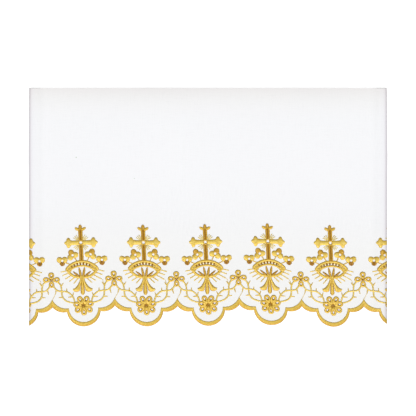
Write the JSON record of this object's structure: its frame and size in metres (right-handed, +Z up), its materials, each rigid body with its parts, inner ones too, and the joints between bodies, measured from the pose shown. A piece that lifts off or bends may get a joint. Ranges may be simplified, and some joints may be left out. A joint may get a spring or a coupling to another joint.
{
  "type": "altar cloth",
  "caption": "Flat length of white linen altar cloth with a scalloped lower edge and a gold embroidered border of crosses, crowns, flowers and thorn stems.",
  "frame": {"origin": "middle of the underside's bounding box, on the surface that the cloth lies on", "axes": "+X along the embroidered border, +Y from the scalloped edge to the folded top edge, +Z up out of the face"},
  "size_m": [0.618, 0.4124, 0.0064],
  "materials": {
    "linen": "fine plain-weave white linen, matt",
    "gold_edge": "gold satin-stitch edging, soft metallic sheen",
    "gold_vine": "light gold embroidery thread, soft metallic sheen",
    "gold_cross": "gold embroidery thread with darker gold shading, soft metallic sheen"
  },
  "bodies": {
    "root": {"cloth": "linen", "scallop_edge": "gold_edge", "thorn_vine": "gold_vine", "cross_and_crown_1": "gold_cross", "cross_and_crown_2": "gold_cross", "cross_and_crown_3": "gold_cross", "cross_and_crown_4": "gold_cross", "cross_and_crown_5": "gold_cross", "cross_arm_left": "gold_cross", "crown_end_left": "gold_cross", "trefoil_left": "gold_cross", "cross_arm_right": "gold_cross", "crown_end_right": "gold_cross", "trefoil_right": "gold_cross"}
  },
  "joints": []
}
